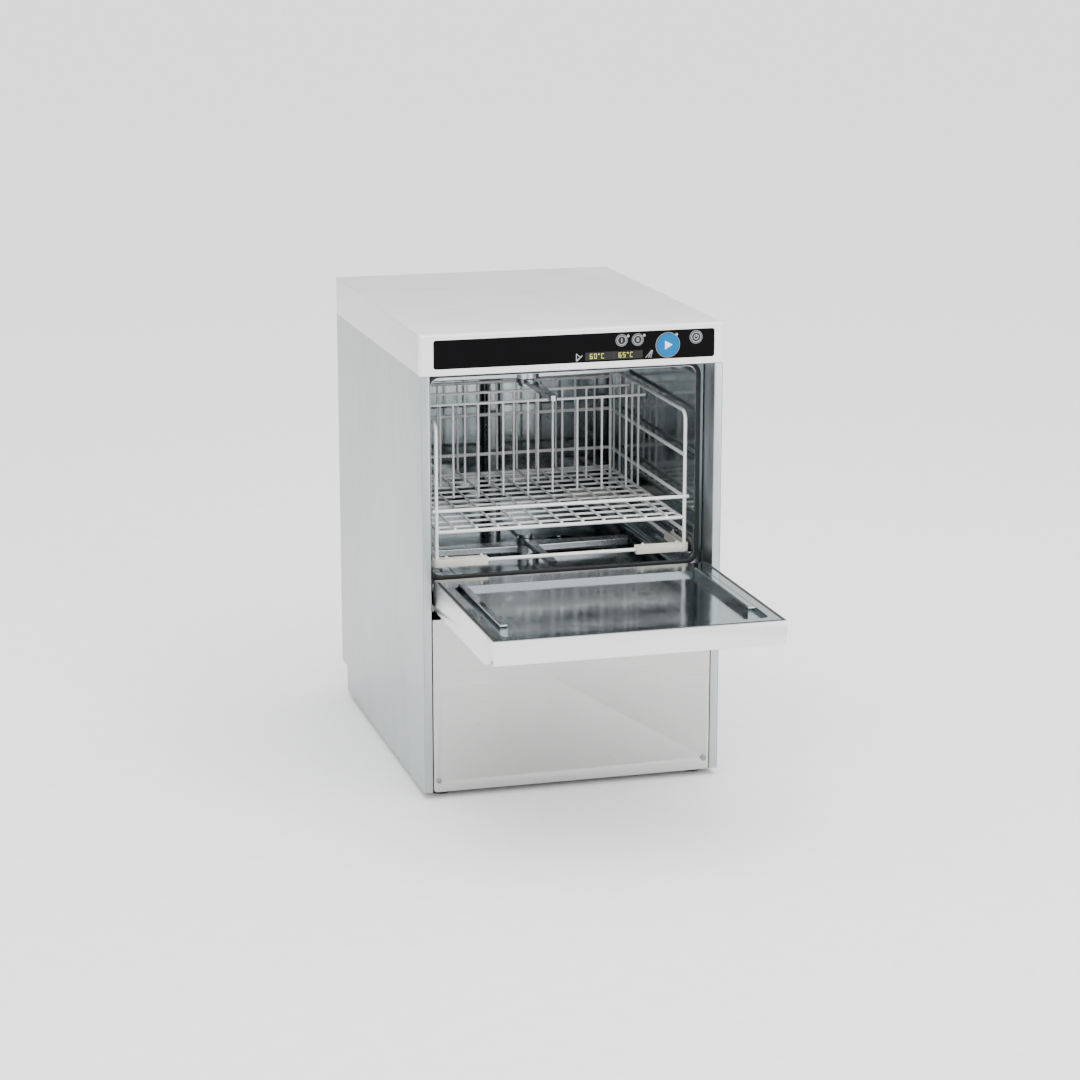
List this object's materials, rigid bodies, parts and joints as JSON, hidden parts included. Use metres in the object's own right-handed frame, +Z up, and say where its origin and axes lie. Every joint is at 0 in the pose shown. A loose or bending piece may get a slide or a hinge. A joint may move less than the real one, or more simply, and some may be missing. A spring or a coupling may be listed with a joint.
{
  "type": "glass washer machine",
  "caption": "Undercounter stainless glass washer with its front door folded down level, a white wire rack on rails, spray arms and a black control strip with keys and display.",
  "frame": {"origin": "floor level under the middle of the overall footprint with the door open", "axes": "+Z up, -Y towards the user in front of the door, +X to the user's right"},
  "size_m": [0.46, 0.9406, 0.7],
  "materials": {
    "cabinet_steel": "fine satin stainless",
    "top_steel": "fine satin stainless",
    "front_steel": "fine satin stainless",
    "polished_steel": "bright polished stainless",
    "door_steel": "fine satin stainless",
    "bracket_steel": "plain folded steel",
    "fascia_silver": "silver satin",
    "overlay_black": "gloss black film",
    "display_smoke": "smoked window",
    "lamp_grey": "unlit lens",
    "start_blue": "blue cap",
    "key_grey": "dark key",
    "seal_rubber": "black rubber",
    "foot_black": "moulded",
    "rack_white": "white coated wire",
    "shoe_cream": "cream moulding",
    "pump_black": "moulded",
    "motor_grey": "cast and painted",
    "hose_black": "ribbed hose",
    "hose_clear": "milky hose",
    "tank_natural": "natural moulding",
    "board_green": "circuit board",
    "insulation_grey": "foam board",
    "pump_case_grey": "moulded",
    "valve_white": "moulded",
    "screw_steel": "bright screw",
    "arm_steel": "satin stainless",
    "element_steel": "dull heating tube"
  },
  "bodies": {
    "cabinet": {"air_break_tank": "tank_natural", "base_tray": "bracket_steel", "booster_heating_element": "element_steel", "cable_gland": "pump_black", "contactor": "pump_black", "control_board": "board_green", "control_overlay": "overlay_black", "detergent_pump": "pump_case_grey", "display_window": "display_smoke", "door_seal": "seal_rubber", "dosing_bracket": "bracket_steel", "drain_hose": "hose_black", "drain_pump": "pump_case_grey", "drain_spigot": "pump_black", "fill_hose": "hose_clear", "filter_basket": "polished_steel", "front_posts": "cabinet_steel", "front_service_panel": "front_steel", "head_fascia": "fascia_silver", "hinge_brackets": "bracket_steel", "left_side_panel": "cabinet_steel", "levelling_feet": "foot_black", "pressure_hose": "hose_black", "rack_rails": "polished_steel", "rear_panel": "cabinet_steel", "rear_panel_screws": "screw_steel", "right_side_panel": "cabinet_steel", "rinse_aid_pump": "pump_case_grey", "rinse_booster": "arm_steel", "rinse_hose": "hose_clear", "riser_pipe": "arm_steel", "service_panel_screws": "screw_steel", "status_lamps": "lamp_grey", "suction_hose": "hose_black", "tank_filter": "polished_steel", "tank_heating_element": "element_steel", "terminal_block": "pump_case_grey", "top_cover": "top_steel", "wash_chamber": "polished_steel", "wash_manifold": "arm_steel", "wash_pump_housing": "pump_black", "wash_pump_motor": "motor_grey", "water_inlet_valve": "valve_white"},
    "door": {"door_hinge_arms": "bracket_steel", "door_inner_liner": "polished_steel", "door_insulation": "insulation_grey", "door_outer_panel": "door_steel", "door_rack_guides": "polished_steel"},
    "rack": {"rack_frame": "rack_white", "rack_floor_grid": "rack_white", "rack_fences": "rack_white", "rack_shoes": "shoe_cream"},
    "lower_wash_arm_body": {"lower_wash_arm": "arm_steel"},
    "lower_rinse_arm_body": {"lower_rinse_arm": "arm_steel"},
    "upper_wash_arm_body": {"upper_wash_arm": "arm_steel"},
    "upper_rinse_arm_body": {"upper_rinse_arm": "arm_steel"},
    "start_key_body": {"start_button": "start_blue"},
    "programme_one_key_body": {"programme_one_button": "key_grey"},
    "programme_two_key_body": {"programme_two_button": "key_grey"},
    "power_key_body": {"power_button": "key_grey"}
  },
  "joints": [
    {"name": "door_hinge", "type": "hinge", "parent": "cabinet", "child": "door", "pos_m": [0, -0.1273, 0.294], "axis": [1, 0, 0], "range_deg": [-90, 0]},
    {"name": "rack_slide", "type": "slide", "parent": "cabinet", "child": "rack", "axis": [0, -1, 0], "range_m": [0, 0.36]},
    {"name": "lower_wash_arm_spin", "type": "hinge", "parent": "cabinet", "child": "lower_wash_arm_body", "pos_m": [0, 0.1402, 0.306], "axis": [0, 0, 1], "continuous": true},
    {"name": "lower_rinse_arm_spin", "type": "hinge", "parent": "cabinet", "child": "lower_rinse_arm_body", "pos_m": [0, 0.1402, 0.306], "axis": [0, 0, 1], "continuous": true},
    {"name": "upper_wash_arm_spin", "type": "hinge", "parent": "cabinet", "child": "upper_wash_arm_body", "pos_m": [0, 0.1402, 0.5815], "axis": [0, 0, 1], "continuous": true},
    {"name": "upper_rinse_arm_spin", "type": "hinge", "parent": "cabinet", "child": "upper_rinse_arm_body", "pos_m": [0, 0.1402, 0.5815], "axis": [0, 0, 1], "continuous": true},
    {"name": "start_key_press", "type": "slide", "parent": "cabinet", "child": "start_key_body", "axis": [0, 1, 0], "range_m": [0, 0.0012], "stiffness_N_per_m": 1500, "springref_m": -0.0005},
    {"name": "programme_one_key_press", "type": "slide", "parent": "cabinet", "child": "programme_one_key_body", "axis": [0, 1, 0], "range_m": [0, 0.0012], "stiffness_N_per_m": 1500, "springref_m": -0.0005},
    {"name": "programme_two_key_press", "type": "slide", "parent": "cabinet", "child": "programme_two_key_body", "axis": [0, 1, 0], "range_m": [0, 0.0012], "stiffness_N_per_m": 1500, "springref_m": -0.0005},
    {"name": "power_key_press", "type": "slide", "parent": "cabinet", "child": "power_key_body", "axis": [0, 1, 0], "range_m": [0, 0.0012], "stiffness_N_per_m": 1500, "springref_m": -0.0005}
  ]
}
